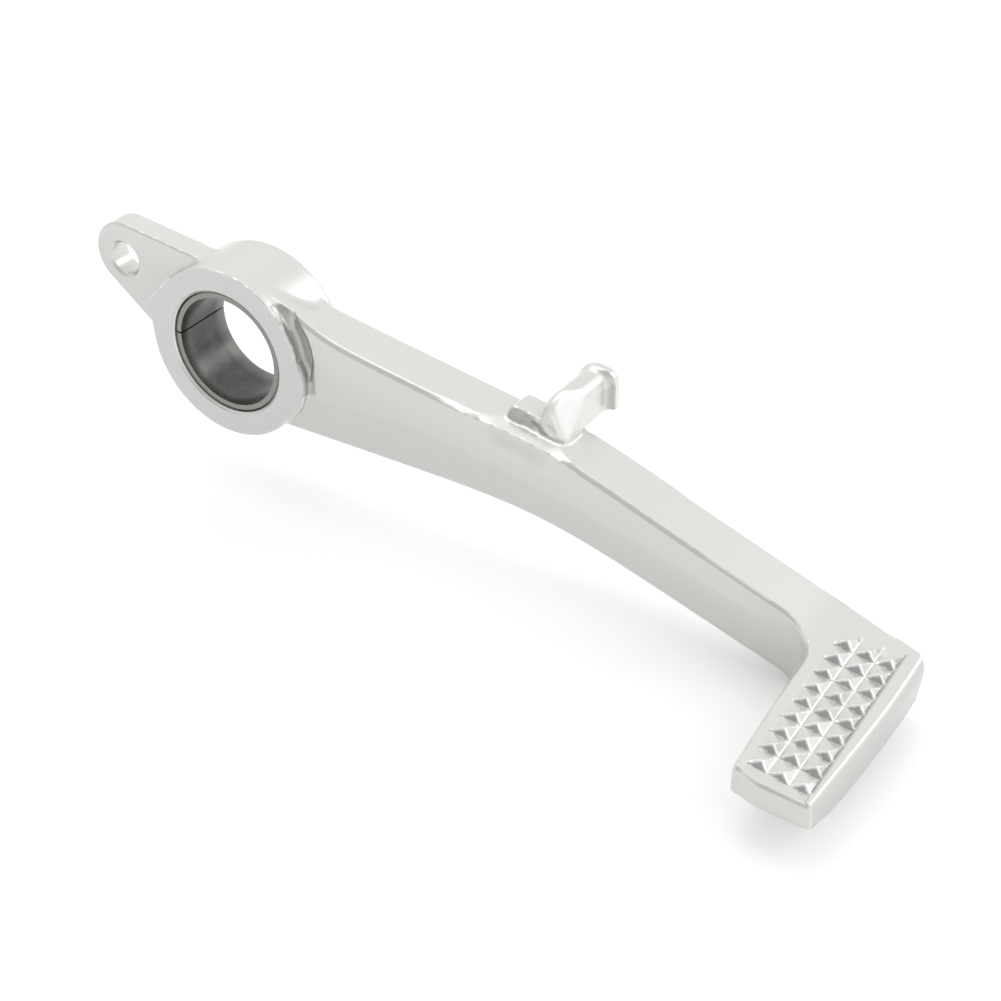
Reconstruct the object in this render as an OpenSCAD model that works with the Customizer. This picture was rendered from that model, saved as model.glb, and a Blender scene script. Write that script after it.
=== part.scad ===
// Rear brake pedal of a motorcycle: a forged pedal turning on a pressed-in pivot bush.
// +X runs forward to the foot pad, +Y runs inboard along the pivot, +Z is up.
// The origin is the centre of the pivot bore.

/* [Pivot boss] */
// Outer diameter of the boss
boss_d = 34.6; // [33:0.2:38]
// Width across the two machined faces
boss_w = 14.4; // [12:0.2:20]
// Round on the rim of each face
boss_rim = 0.9; // [0.3:0.1:1.5]
// Radius of the lobe where the outboard face runs out into the arm
lobe_r = 9.5; // [8:0.5:10]
// How far that lobe reaches past the boss
lobe_reach = 1.1; // [0.5:0.1:2]
// Direction of that lobe, below the forward axis
lobe_angle = 15; // [5:1:30]

/* [Pivot bush] */
// Inner diameter, which runs on the pivot shaft
bush_id = 22; // [18:0.5:24]
// Wall of the rolled strip
bush_wall = 1.5; // [1:0.1:2]
// Length of the bush
bush_len = 13; // [9:0.5:14]
// Gap left all round by the press fit
press_gap = 0; // [0:0.01:0.05]
// Width of the butt seam
seam_w = 0.35; // [0.2:0.05:0.8]
// Where the seam lies round the bore, up from the forward axis
seam_angle = 175; // [90:5:260]
// Chamfer on the bush ends and on its seat
bush_chamfer = 0.4; // [0.2:0.1:0.6]

/* [Clevis lug] */
// Thickness of the lug
lug_t = 5.2; // [4:0.2:8]
// Hole for the push rod's clevis pin
clevis_d = 6.6; // [6:0.1:9]
// Distance of the hole behind the pivot
clevis_back = 27.2; // [25:0.2:34]
// Height of the hole above the pivot
clevis_up = 10.9; // [6:0.1:12]
// Round end of the lug
lug_r = 6.9; // [6:0.1:8]
// How far the round end sits above the hole
lug_high = 0.6; // [0:0.1:1]
// Slope of the lug's top edge
lug_top_angle = 6; // [0:1:10]
// Slope of the lug's lower edge
lug_low_angle = 39; // [36:1:42]
// Chamfer left by the drill on both sides
clevis_chamfer = 0.4; // [0.2:0.1:0.8]

/* [Arm] */
// Pivot to the rear edge of the foot pad
arm_len = 122.4; // [110:0.5:140]
// Outboard side of the arm from the middle of the boss, at the top edge
arm_out = 5.2; // [4.5:0.1:5.8]
// Inboard side of the arm from the middle of the boss, at the top edge
arm_in = 5.4; // [4.5:0.1:5.8]
// How much wider the inboard side is past the spring peg
arm_flare = 0.6; // [0:0.1:1.2]
// How far the sides draw in from the parting line to the bottom
arm_draft = 0.5; // [0.2:0.1:1]
// How far the parting line stands out on each side
arm_belly = 0.35; // [0:0.05:0.7]
// Thickness of the trimmed flash along the parting line
flash_t = 0.8; // [0.4:0.1:1.5]
// How far the trimmed flash stands out
flash_out = 0.25; // [0.1:0.05:0.4]
// Height of the top line where the arm leaves the boss
arm_top = 8.9; // [7:0.1:11]
// Height of the bottom line where the arm leaves the boss
arm_bottom = -13.8; // [-14.6:0.1:-11]
// Rise of the top line into the boss
root_rise = 4.2; // [2:0.1:5]
// Length over which that rise is spread
root_soft = 3; // [2:0.1:4]
// Fall of the top line in mm per mm, near the boss
top_fall = 0.17; // [0.05:0.01:0.3]
// Fall of the top line in mm per mm, near the pad
top_fall_end = 0.36; // [0.2:0.01:0.45]
// Fall of the bottom line in mm per mm, near the pad
low_fall_end = 0.34; // [0.2:0.01:0.42]
// Where the arm bends down
bend_x = 71; // [60:1:80]
// Length over which the bend is spread
bend_soft = 5; // [2:0.5:9]
// Rise of the underside in mm per mm below the pad
pad_low_rise = 0.36; // [0.2:0.02:0.4]
// Radius of the top edges
arm_r_top = 0.9; // [0.6:0.1:2]
// Radius of the bottom edges
arm_r_low = 2.2; // [1:0.1:3]
// Width of the worn-down outboard edge beside the spring peg
edge_soft = 3.2; // [1.2:0.1:4]

/* [Spring peg] */
// Middle of the peg ahead of the pivot
peg_x = 68.1; // [60:0.5:80]
// Length of the peg past the arm's side
peg_len = 9.8; // [8:0.2:16]
// Width of the shank
peg_w = 5.2; // [4:0.1:6]
// Height of the shank above the arm
peg_h = 7.3; // [6:0.1:9]
// How far the lip stands out to hold the spring's eye
lip_out = 1.6; // [0.8:0.1:2.5]
// How far the lip stands up
lip_up = 0.5; // [0.2:0.1:1]
// Length of the lip along the peg
lip_len = 2; // [1.5:0.1:4]

/* [Raised step] */
// Height of the step that carries the peg
step_h = 2.6; // [1.5:0.1:4]
// Length of the step behind the peg
step_len = 9.2; // [6:0.2:12]
// Distance of the step's rough outboard face from the arm's middle
step_out = 2.1; // [1:0.1:3]

/* [Foot pad] */
// Width of the pad, rear to front
pad_w = 17.1; // [14.5:0.1:22]
// Outboard end of the pad from the arm's middle
pad_reach = 43; // [42:0.2:52]
// Thickness of the pad at its outboard end
pad_t = 5.8; // [4.6:0.1:7]
// Thickness of the pad's front wall beside the arm
pad_t_in = 7.2; // [5:0.1:9]
// Slope of the pad, down to the front
pad_tilt = 3.3; // [0:0.1:6]
// Radius of the pad's corners in plan
pad_r = 2.4; // [1.5:0.1:4]
// Chamfer along the front edge
pad_chamfer = 1.7; // [1:0.1:2.4]
// Radius between the arm's side and the pad's rear edge
pad_fillet = 8; // [5:0.5:10]
// How far the pad's inboard end runs back outboard, rear to front
pad_sweep = 5.2; // [3:0.1:7]

/* [Studs] */
// Rows along the pad
stud_rows = 9; // [5:1:9]
// Columns across the pad
stud_cols = 3; // [2:1:3]
// Spacing of the rows
stud_row_pitch = 4.23; // [3.6:0.01:4.3]
// Spacing of the columns
stud_col_pitch = 3.97; // [3.4:0.01:4.1]
// Depth of the grooves between the studs below the pad's face
stud_sink = 0.5; // [0.2:0.1:1]
// Height of a stud above the grooves
stud_h = 1.2; // [0.6:0.05:1.8]
// Width of the blunt top
stud_flat = 0.5; // [0.3:0.1:0.9]
// How far the tops lean forward
stud_lean = 0.5; // [0:0.05:0.7]
// How far the tops lean towards the outboard end
stud_lean_out = 0.6; // [0:0.05:0.8]
// Smooth margin behind the studs
stud_margin = 2.1; // [1.8:0.1:3]
// Smooth margin at the outboard end
stud_end_margin = 2.6; // [2:0.1:4]

/* [Hidden] */
forged = [0.83, 0.83, 0.81];
lining = [0.36, 0.35, 0.34];
$fn = 96;
boss_r = boss_d / 2;
face_y = boss_w / 2;
bush_od = bush_id + 2 * bush_wall;
seat_d = bush_od + 2 * press_gap;
// The arm starts inside the boss and runs on to the pad's front wall
arm_start = 0.35 * boss_r;
arm_end = arm_len + pad_w + 1;
arm_steps = 44;
// The arm's top lies this far below the pad's face
top_gap = 0.1;
pad_slope = tan(pad_tilt);
corner_steps = 4;
arch_steps = 8;
peg_r = peg_w / 2;

// Straight line that turns into a slope of 1 at a given place
function bent(x, at, soft) = let (t = (x - at) / soft) soft * (t > 30 ? t : ln(1 + exp(t)));
function lerp(a, b, t) = a + (b - a) * t;
function hill(x, at, wide) = exp(-pow((x - at) / wide, 2));

// Arc from one angle to another, as points
function arc(c, r, from, to, n) = [
    for (i = [0:n]) let (t = lerp(from, to, i / n)) c + r * [cos(t), sin(t)]
];

// Side view of the arm: its top line, bottom line and parting line
function top_z(x) = arm_top - top_fall * (x - boss_r)
    - (top_fall_end - top_fall) * bent(x, bend_x, bend_soft)
    + root_rise / (1 + exp((x - boss_r) / root_soft))
    + (top_fall_end - pad_slope) * bent(x, arm_len - 1, 1.2);
function low_z(x) = arm_bottom - low_fall_end * bent(x, bend_x - 4, bend_soft + 2)
    + (low_fall_end + pad_low_rise) * bent(x, arm_len, 1.5);
function mid_z(x) = lerp(low_z(x), top_z(x), 0.5);
// The arm's inboard side, which follows the pad's slanted end below the pad
function in_y(x) = arm_in + arm_flare / (1 + exp((peg_x - 5 - x) / 2))
    - pad_sweep * max(0, x - arm_len) / pad_w;
// The parting line fades out before the pad
function fade(x) = 1 / (1 + exp((x - arm_len + 12) / 1.5));
// Height of the pad's face at its rear edge
pad_z = top_z(arm_len + 4) + 4 * pad_slope + top_gap;
function edge_in(x) = arm_r_top + (edge_soft - arm_r_top) * hill(x, peg_x - 7, 13);

// A quarter turn from angle a, flattened to wide by high, round the corner centre
function corner(x, y, z, wide, high, a) = [
    for (i = [0:corner_steps]) let (t = a + 90 * i / corner_steps)
        [x, y + wide * cos(t), z + high * sin(t)]
];

// One section of the arm, counter-clockwise as seen from the pad
function section(x) = let (
    top = top_z(x),
    low = low_z(x),
    mid = mid_z(x),
    wide = edge_in(x),
    in = in_y(x),
    bulge = arm_belly * fade(x),
    flash = flash_out * fade(x),
    h = flash_t / 2,
    r = arm_r_top,
    q = arm_r_low,
    d = arm_draft
) concat(
    corner(x, in - r, top - r, r, r, 0),
    corner(x, wide - arm_out, top - r, wide, r, 90),
    [
        [x, -arm_out - bulge, mid + h],
        [x, -arm_out - bulge - flash, mid + 0.6 * h],
        [x, -arm_out - bulge - flash, mid - 0.6 * h],
        [x, -arm_out - bulge, mid - h]
    ],
    corner(x, q + d - arm_out, low + q, q, q, 180),
    corner(x, in - d - q, low + q, q, q, 270),
    [
        [x, in + bulge, mid - h],
        [x, in + bulge + flash, mid - 0.6 * h],
        [x, in + bulge + flash, mid + 0.6 * h],
        [x, in + bulge, mid + h]
    ]
);

// Skin over a row of sections with the same number of points
module loft(rings) {
    n = len(rings[0]);
    m = len(rings);
    points = [for (ring = rings) each ring];
    sides = [
        for (i = [0:m - 2], j = [0:n - 1]) let (a = i * n + j, b = i * n + (j + 1) % n)
            each [[a, a + n, b + n], [a, b + n, b]]
    ];
    first = [for (j = [0:n - 1]) j];
    last = [for (j = [0:n - 1]) m * n - 1 - j];
    polyhedron(points = points, faces = concat(sides, [first, last]));
}

// Lays a drawing made in XY with X forward into the XZ plane, centred on y = 0
module along_y(width) {
    rotate([90, 0, 0])
        linear_extrude(height = width, center = true)
            children();
}

// Boss with its rims rounded in two steps
module boss() {
    rim = boss_rim;
    rotate([90, 0, 0])
        rotate_extrude()
            polygon([
                [0, -face_y],
                [boss_r - rim, -face_y],
                [boss_r - 0.3 * rim, -face_y + 0.3 * rim],
                [boss_r, -face_y + rim],
                [boss_r, face_y - rim],
                [boss_r - 0.3 * rim, face_y - 0.3 * rim],
                [boss_r - rim, face_y],
                [0, face_y]
            ]);
}

// Where the machined face runs out over the arm's root
module boss_lobe() {
    reach = boss_r + lobe_reach - lobe_r;
    deep = face_y - arm_out + 1;
    translate([reach * cos(lobe_angle), deep / 2 - face_y, -reach * sin(lobe_angle)])
        along_y(deep)
            circle(r = lobe_r);
}

// Flat lug with a round end, its edges tangent to that end
module lug_outline() {
    end = [-clevis_back, clevis_up + lug_high];
    top_run = clevis_back - 3;
    low_run = clevis_back - 6;
    round_end = arc(end, lug_r, 90 - lug_top_angle, 270 - lug_low_angle, 24);
    polygon(concat(
        round_end,
        [
            round_end[24] + low_run * [cos(lug_low_angle), -sin(lug_low_angle)],
            [0, 0],
            round_end[0] + top_run * [cos(lug_top_angle), -sin(lug_top_angle)]
        ]
    ));
}

module arm() {
    loft([for (i = [0:arm_steps]) section(lerp(arm_start, arm_end, i / arm_steps))]);
}

// Arch-topped bar section standing on z = 0, made wider to the front and higher for the lip
module peg_outline(more = 0, up = 0) {
    shoulder = peg_h + up - peg_r;
    foot = 0.8;
    polygon(concat(
        [
            [-peg_r, foot],
            [foot - peg_r, 0],
            [peg_r + more - foot, 0],
            [peg_r + more, foot]
        ],
        arc([more, shoulder], peg_r, 0, 90, arch_steps),
        arc([0, shoulder], peg_r, 90 + (more > 0 ? 0 : 90 / arch_steps), 180, arch_steps - 1)
    ));
}

// Spring peg: shank, lip and the web that runs down to the arm's top
module spring_peg() {
    root_y = 1.2;
    tip = arm_in + peg_len;
    neck = 1.2;
    translate([peg_x, 0, top_z(peg_x) - 0.2]) {
        translate([0, (root_y + tip - 1) / 2, 0])
            along_y(tip - 1 - root_y)
                peg_outline();
        translate([0, tip - 0.8 - lip_len / 2, 0])
            along_y(lip_len)
                peg_outline(lip_out, lip_up);
        hull() {
            translate([0, tip - 0.8 - lip_len, 0])
                along_y(0.1)
                    peg_outline(lip_out, lip_up);
            translate([0, tip - 0.8 - lip_len - neck, 0])
                along_y(0.1)
                    peg_outline();
        }
        hull() {
            translate([0, tip - 0.9, 0])
                along_y(0.2)
                    peg_outline(lip_out, lip_up);
            translate([lip_out / 2, tip - 0.1, peg_h / 2])
                along_y(0.2)
                    circle(r = peg_h * 0.36, $fn = 32);
        }
        hull() {
            translate([0, root_y + 0.2, 0])
                along_y(0.2)
                    peg_outline();
            translate([0.6, -step_out - 0.3, -0.6])
                along_y(0.2)
                    square([peg_w + 1.6, 0.8], center = true);
        }
    }
}

// Raised step with a steep, rough outboard face
module raised_step() {
    back = peg_x - step_len;
    front = peg_x + peg_r - 0.4;
    inner = arm_in - 0.3;
    translate([0, (inner - step_out) / 2, 0])
        along_y(inner + step_out)
            polygon([
                [back - 0.8, top_z(back) - 2],
                [back - 0.8, top_z(back) - 0.2],
                [back, top_z(back) + step_h - 0.7],
                [back + 0.8, top_z(back) + step_h],
                [peg_x, top_z(peg_x) + step_h],
                [front, top_z(peg_x) + step_h - 1],
                [front, top_z(front) - 2]
            ]);
}

// Plan of the pad, with x from its rear edge and y inboard
module pad_plan() {
    root = -pad_fillet - 2;
    sweep = atan(pad_sweep / pad_w);
    corner_r = 1;
    end = in_y(arm_len) + 0.15;
    front = pad_w + 0.3;
    polygon(concat(
        [[root, end - 1.2], [root + 4, end - 0.9], [0, end]],
        arc([front - corner_r, end - pad_sweep - 0.7], corner_r, 90 - sweep, 0, 6),
        arc([front - pad_r, pad_r - pad_reach], pad_r, 0, -90, 8),
        arc([pad_r, pad_r - pad_reach], pad_r, -90, -180, 8),
        arc([-pad_fillet, -arm_out - pad_fillet - 0.05], pad_fillet, 0, 90, 16),
        [[root, 1 - arm_out]]
    ));
}

// Side view below the pad's face: the underside follows the arm's and rises to the front
module pad_side() {
    back = -pad_fillet - 2;
    steps = 10;
    polygon(concat(
        [[back, -back * pad_slope], [pad_w + 2, -(pad_w + 2) * pad_slope]],
        [for (i = [0:steps]) let (x = lerp(pad_w + 2, back, i / steps))
            [x, low_z(arm_len + x) - pad_z + arm_draft + 0.5]]
    ));
}

// Front view: deep at the arm, a hollow curve up to the pad, and a rounded outboard end
module pad_front() {
    deep = 20;
    hollow = 10;
    start = arm_out + 2;
    polygon(concat(
        [[arm_in + 3, 3], [arm_in + 3, -deep], [-start, -deep]],
        arc([-start - hollow, -pad_t_in - hollow], hollow, 0, 90, 8),
        arc([1.4 - pad_reach, 1.4 - pad_t], 1.4, -90, -180, 5),
        arc([0.9 - pad_reach, -0.9], 0.9, -180, -270, 4),
        [[-pad_reach + 1, 3]]
    ));
}

// All that lies in front of the pad's chamfered front wall
module pad_front_cut() {
    draft = 0.5;
    deep = 20;
    clear = 6;
    translate([0, -pad_reach / 2, 0])
        along_y(2 * pad_reach)
            polygon([
                [pad_w - pad_chamfer - 1, 1],
                [pad_w + clear, 1],
                [pad_w + clear, -deep],
                [pad_w - draft, -deep],
                [pad_w, -pad_chamfer]
            ]);
}

module pad_body() {
    intersection() {
        translate([0, 0, -30])
            linear_extrude(height = 60)
                pad_plan();
        translate([0, -pad_reach / 2, 0])
            along_y(2 * pad_reach)
                pad_side();
        rotate([90, 0, 90])
            linear_extrude(height = 80, center = true)
                pad_front();
    }
}

// Blunt pyramids side by side, each leaning like a rasp's tooth
module studs() {
    a = stud_col_pitch;
    b = stud_row_pitch;
    f = stud_flat / 2;
    u = stud_lean;
    v = -stud_lean_out;
    root = 0.6;
    for (i = [0:stud_cols - 1], j = [0:stud_rows - 1])
        translate([(i + 0.5) * a, (j + 0.5) * b, -stud_sink])
            polyhedron(
                points = [
                    [-a / 2, -b / 2, -root], [a / 2, -b / 2, -root],
                    [a / 2, b / 2, -root], [-a / 2, b / 2, -root],
                    [-a / 2, -b / 2, 0], [a / 2, -b / 2, 0],
                    [a / 2, b / 2, 0], [-a / 2, b / 2, 0],
                    [u - f, v - f, stud_h], [u + f, v - f, stud_h],
                    [u + f, v + f, stud_h], [u - f, v + f, stud_h]
                ],
                faces = [
                    [0, 1, 2, 3],
                    [0, 4, 5, 1], [1, 5, 6, 2], [2, 6, 7, 3], [3, 7, 4, 0],
                    [4, 8, 9, 5], [5, 9, 10, 6], [6, 10, 11, 7], [7, 11, 8, 4],
                    [8, 11, 10, 9]
                ]
            );
}

// The shallow field that the studs stand in
module stud_field() {
    translate([0, 0, -stud_sink])
        cube([stud_cols * stud_col_pitch, stud_rows * stud_row_pitch, 4]);
}

// Puts what is drawn from the pad's rear edge in its place
module at_pad() {
    translate([arm_len, 0, pad_z])
        children();
}

// Puts what is drawn from the corner of the stud field in its place
module in_field() {
    at_pad()
        rotate([0, pad_tilt, 0])
            translate([stud_margin, stud_end_margin - pad_reach, 0])
                children();
}

// Through hole along the pivot direction with a chamfer at both faces
module cross_hole(d, thick, chamfer) {
    clear = 20;
    rotate([90, 0, 0]) {
        cylinder(d = d, h = thick + clear, center = true);
        for (side = [0, 1])
            mirror([0, 0, side])
                translate([0, 0, thick / 2 - chamfer])
                    cylinder(d1 = d, d2 = d + 4 * chamfer, h = 2 * chamfer);
    }
}

module brake_pedal() {
    color(forged)
        difference() {
            union() {
                boss();
                boss_lobe();
                along_y(lug_t)
                    lug_outline();
                arm();
                raised_step();
                spring_peg();
                at_pad()
                    pad_body();
            }
            at_pad()
                rotate([0, pad_tilt, 0])
                    pad_front_cut();
            in_field()
                stud_field();
            cross_hole(seat_d, boss_w, bush_chamfer);
            translate([-clevis_back, 0, clevis_up])
                cross_hole(clevis_d, lug_t, clevis_chamfer);
        }
    color(forged)
        in_field()
            studs();
}

// Rolled sleeve with chamfered ends and one straight butt seam
module pivot_bush() {
    inner = bush_id / 2;
    outer = bush_od / 2;
    end = bush_len / 2;
    cut = bush_chamfer;
    clear = 1;
    color(lining)
        difference() {
            rotate([90, 0, 0])
                rotate_extrude()
                    polygon([
                        [inner + cut, -end],
                        [outer - cut, -end],
                        [outer, -end + cut],
                        [outer, end - cut],
                        [outer - cut, end],
                        [inner + cut, end],
                        [inner, end - cut],
                        [inner, -end + cut]
                    ]);
            rotate([0, -seam_angle, 0])
                translate([inner - clear, -end - clear, -seam_w / 2])
                    cube([bush_wall + 2 * clear, bush_len + 2 * clear, seam_w]);
        }
}

brake_pedal();
pivot_bush();
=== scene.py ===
import math
import bpy
import numpy as np
from mathutils import Matrix, Vector


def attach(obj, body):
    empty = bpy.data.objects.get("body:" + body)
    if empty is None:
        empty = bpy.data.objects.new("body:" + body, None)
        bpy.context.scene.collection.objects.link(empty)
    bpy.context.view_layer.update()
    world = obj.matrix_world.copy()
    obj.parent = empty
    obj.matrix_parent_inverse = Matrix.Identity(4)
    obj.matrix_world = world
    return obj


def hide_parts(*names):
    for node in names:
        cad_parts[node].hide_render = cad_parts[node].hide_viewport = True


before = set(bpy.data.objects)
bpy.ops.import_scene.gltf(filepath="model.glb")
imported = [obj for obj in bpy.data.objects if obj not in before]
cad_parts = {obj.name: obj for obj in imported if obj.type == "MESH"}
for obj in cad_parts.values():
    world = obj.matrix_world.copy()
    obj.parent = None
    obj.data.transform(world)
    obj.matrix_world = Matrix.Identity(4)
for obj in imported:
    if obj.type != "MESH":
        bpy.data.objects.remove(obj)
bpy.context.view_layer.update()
print("frame loaded")

# Lengths in the dictionaries are millimetres, in the same frame as the CAD
mm = 0.001

cameraView = {
    "azimuth": 31.65,
    "elevation": 34.159,
    "right": -48.334,      # the frame's origin in the camera's own axes
    "up": 31.122,
    "depth": 342.011,
    "focalPixels": 1784.224,
    "framePixels": 1001,
    "sensor": 36.0,
}


def makeCamera(c):
    a, e = math.radians(c["azimuth"]), math.radians(c["elevation"])
    back = Vector((math.sin(a) * math.cos(e), -math.cos(a) * math.cos(e), math.sin(e)))
    right = Vector((math.cos(a), math.sin(a), 0))
    up = back.cross(right)
    data = bpy.data.cameras.new("photoCamera")
    data.sensor_width = c["sensor"]
    data.lens = c["sensor"] * c["focalPixels"] / c["framePixels"]
    data.clip_start = 0.01
    cam = bpy.data.objects.new("photoCamera", data)
    bpy.context.scene.collection.objects.link(cam)
    place = (back * c["depth"] - right * c["right"] - up * c["up"]) * mm
    turn = Matrix((right, up, back)).transposed()
    cam.matrix_world = Matrix.Translation(place) @ turn.to_4x4()
    bpy.context.scene.camera = cam


makeCamera(cameraView)


# Distance tools: each works on whole arrays, negative inside
def blend(a, b, k):
    h = np.maximum(k - np.abs(a - b), 0) / k
    return np.minimum(a, b) - h * h * k / 4


def filletJoin(a, b, r):
    return np.maximum(r, np.minimum(a, b)) - np.hypot(np.maximum(r - a, 0), np.maximum(r - b, 0))


def roundCut(a, b, r):
    return np.minimum(-r, np.maximum(a, b)) + np.hypot(np.maximum(r + a, 0), np.maximum(r + b, 0))


def bent(x, at, soft):
    return soft * np.logaddexp(0, (x - at) / soft)


def hill(x, at, wide):
    return np.exp(-((x - at) / wide) ** 2)


def smooth(t):
    t = np.clip(t, 0, 1)
    return t * t * (3 - 2 * t)


def stretch(x, start, rise, end, fall):
    return smooth((x - start) / rise) * (1 - smooth((x - end) / fall))


def noise(x, y, z, size, seed):
    x, y, z = x / size + 71.3 * seed, y / size + 13.7 * seed, z / size - 37.1 * seed
    ix, iy, iz = np.floor(x), np.floor(y), np.floor(z)
    fx, fy, fz = smooth(x - ix), smooth(y - iy), smooth(z - iz)

    def corner(i, j, k):
        v = np.sin((ix + i) * 127.1 + (iy + j) * 311.7 + (iz + k) * 74.7 + seed * 9.1) * 43758.5453
        return v - np.floor(v)

    def edge(j, k):
        return corner(0, j, k) * (1 - fx) + corner(1, j, k) * fx

    low = edge(0, 0) * (1 - fy) + edge(1, 0) * fy
    high = edge(0, 1) * (1 - fy) + edge(1, 1) * fy
    return (low * (1 - fz) + high * fz) * 2 - 1


pedal = {
    "bossRadius": 17.3,
    "bossFace": 7.2,                 # machined faces, from the middle
    "bossForged": 7.3,               # half width before facing
    "bossRound": 0.5,
    "bossBore": 12.5,
    "boreChamfer": 0.45,
    "bossFillet": 0.8,
    "faceLobe": (8.87, -2.05, 9.6),  # centre and radius of the face's forward edge
    "lobeRound": 1.0,
    "facedTo": 30,                   # the facing cut ends here
    "lugMiddle": -0.1,
    "lugHalf": 2.6,
    "lugHole": (-27.25, 10.85),
    "lugHoleRadius": 3.3,
    "holeChamfer": 0.5,
    "lugEnd": (-27.15, 11.53),
    "lugRadius": 6.85,
    "lugTopSlope": 8,
    "lugLowSlope": 39,
    "lugRound": 0.45,
    "lugFillet": 0.8,
    "webAhead": 17.55,               # distance of the web's upper plane
    "webEnd": (-0.97, 1.056, -0.22, 21.0, 2.75, 1.454),
    "webRound": (1.2, 1.0),
    "armOut": 5.2,
    "armIn": 5.4,
    "armDraft": 0.5,
    "armBelly": 0.35,
    "flashOut": 0.06,
    "flashWide": 0.35,
    "swellSoft": 0.5,
    "swellEnd": (108, 8),
    "endDraft": (0.5, 10),
    "inboardSwell": 0.9,
    "flare": (0.5, 59, 8),           # size, start and run, inboard beside the peg
    "flareBack": (0.4, 87, 7),
    "partLine": (-4.6, 13.6, 35, 75, 1.7),
    "partHump": (0.9, 44, 14),
    "armTop": 9.05,
    "rootRise": 3.9,
    "rootSoft": 2.95,
    "rootFade": (0.9, 4, 8),         # share of the rise that is missing inboard
    "topFall": 0.171,
    "topFallEnd": 0.359,
    "topBend": (72.9, 2.0),
    "armLow": -14.1,
    "lowFallEnd": 0.33,
    "lowBend": (68.0, 7.0),
    "lowRise": 0.24,
    "edgeRound": 0.3,
    "backRound": 0.9,
    "backFrom": 1.5,
    "inboardRound": 1.1,
    "lowRound": (2.2, 1.0, 116, 6),
    "lowSteep": 1.06,
    "scoop": (50, 11, 66, 11),       # worn hollow in the side beside the peg
    "scoopLean": (0.9, 5),
    "recessDepth": 0.5,              # shallow recess in front of the boss face
    "recessBack": (14.4, 0.12, 12.4, 0.8),
    "recessFront": (19.9, 0.05, 3, 1.0),
    "recessEnds": (-2.6, 0.7, 13.5, 1.5),
    "facetFall": 0.5,
    "facetOuter": 0.1,
    "facetInner": 0.5,
    "facetEnds": (0.1, 100, 112),    # how much wider, up to where at its outer and inner edge
    "facetRound": 0.15,
    "facetGrow": (0.6, 44, 6, 68, 10),
    "facetWorn": (3.1, 54, 5, 67, 7),
    "padStart": 122.4,
    "padBends": (1.2, 1.5),          # softness of the top's and the underside's bend there
    "sweepFrom": (0.7, 0.4),
    "padWidth": 17.1,
    "padFrontTurn": (0.167, 16, 2.5),
    "padRearTurn": (19, 23, 1.3),
    "padEnd": -42.0,
    "padEndBump": (0.3, 2, 1.2),
    "padEndStep": (0.98, 2, 4.5),
    "padTilt": 3.3,
    "padThick": 8.5,
    "padThin": (3.4, 27, 16),
    "padHollow": (7.4, 9),
    "padDraft": 0.03,
    "padFillet": 8.0,
    "padCorner": 0.9,
    "wallRound": 1.0,
    "padChamfer": (1.7, 1.15),       # drop and run of the front chamfer
    "chamferRound": 0.8,
    "padSweep": 0.345,
    "pegX": 68.35,
    "pegHigh": (7.6, 0.045, 8),      # height, its taper and where it holds
    "pegHalf": 2.85,
    "pegEnd": 15.18,
    "pegEndRound": 1.1,
    "pegFloor": 4,
    "pegLip": (1.6, 0.45, 12.9),     # out, up and start of the lip
    "lipRound": 0.5,
    "lipFillet": 1.3,
    "pegRidge": (-0.75, 0.66, 1.4, 1.8),
    "pegFan": (0.705, 70.6, -0.517, -1.9, 0.486, -0.1, 0.9),
    "mountFillet": 0.5,
    "mountReach": (66, 14),
    "stepBack": 58.6,
    "stepOut": -1.4,
    "stepIn": 5.6,
    "stepAcross": 6.8,
    "stepHigh": 2.8,
    "stepLow": 1.6,
    "stepFall": (64, 7),
    "stepSink": (0.8, 69.5, 3),
    "stepDraft": (0.14, 0.35),
    "stepRound": (0.75, 0.8, 0.6),
    "stepWave": [(0.16, 1.4, 1.3, 3), (0.10, 1, 0.55, 4)],
    "pegBlend": 0.9,
}
studs = {
    "columns": 3,
    "rows": 9,
    "pitchX": 3.783,
    "pitchY": (4.175, 0.0075),       # at the rear column, and how it grows to the front
    "startX": 2.2,
    "startY": (-39.45, -0.06),       # at the rear column, and how it shifts to the front
    "sink": (0.2, 0.057),            # at the rear border, and how it grows to the front
    "sinkEnds": (0.3, 3.2),
    "sinkSides": (0.5, 2.0),
    "high": 1.12,
    "blunt": 0.93,
    "tip": (2.22, 1.02),             # of each stud, from its rear outboard corner
    "tipSpread": (0.25, 0.35),
    "highSpread": (0.92, 0.16),
    "firstRow": 0.2,
    "carve": 0.9,
    "steep": 0.75,
    "from": (118, -4),
}
outside = -9.0                       # a distance well inside, so that a cut does nothing
root2 = 0.7071
padSlope = math.tan(math.radians(pedal["padTilt"]))


def rootRise(x):
    p = pedal
    return p["rootRise"] / (1 + np.exp(np.clip((x - p["bossRadius"]) / p["rootSoft"], -30, 30)))


def topLine(x):
    p = pedal
    steep = p["topFallEnd"]
    return (p["armTop"] - p["topFall"] * (x - p["bossRadius"])
            - (steep - p["topFall"]) * bent(x, *p["topBend"]) + rootRise(x)
            + (steep - padSlope) * bent(x, p["padStart"] - 1, p["padBends"][0]))


def lowLine(x):
    p = pedal
    return (p["armLow"] - p["lowFallEnd"] * bent(x, *p["lowBend"])
            + (p["lowFallEnd"] + p["lowRise"]) * bent(x, p["padStart"], p["padBends"][1]))


def partLine(x):
    start, fall, first, run, power = pedal["partLine"]
    out, at, wide = pedal["partHump"]
    return start + out * hill(x, at, wide) - fall * np.clip((x - first) / run, 0, 1) ** power


padTop = float(topLine(np.float64(pedal["padStart"] + 4))) + 4 * padSlope


def inboardSide(x):
    p = pedal
    out, start, run = p["flare"]
    back, backStart, backRun = p["flareBack"]
    before, soft = p["sweepFrom"]
    return (p["armIn"] + out * smooth((x - start) / run) - back * smooth((x - backStart) / backRun)
            - p["padSweep"] * bent(x, p["padStart"] - before, soft))


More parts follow.
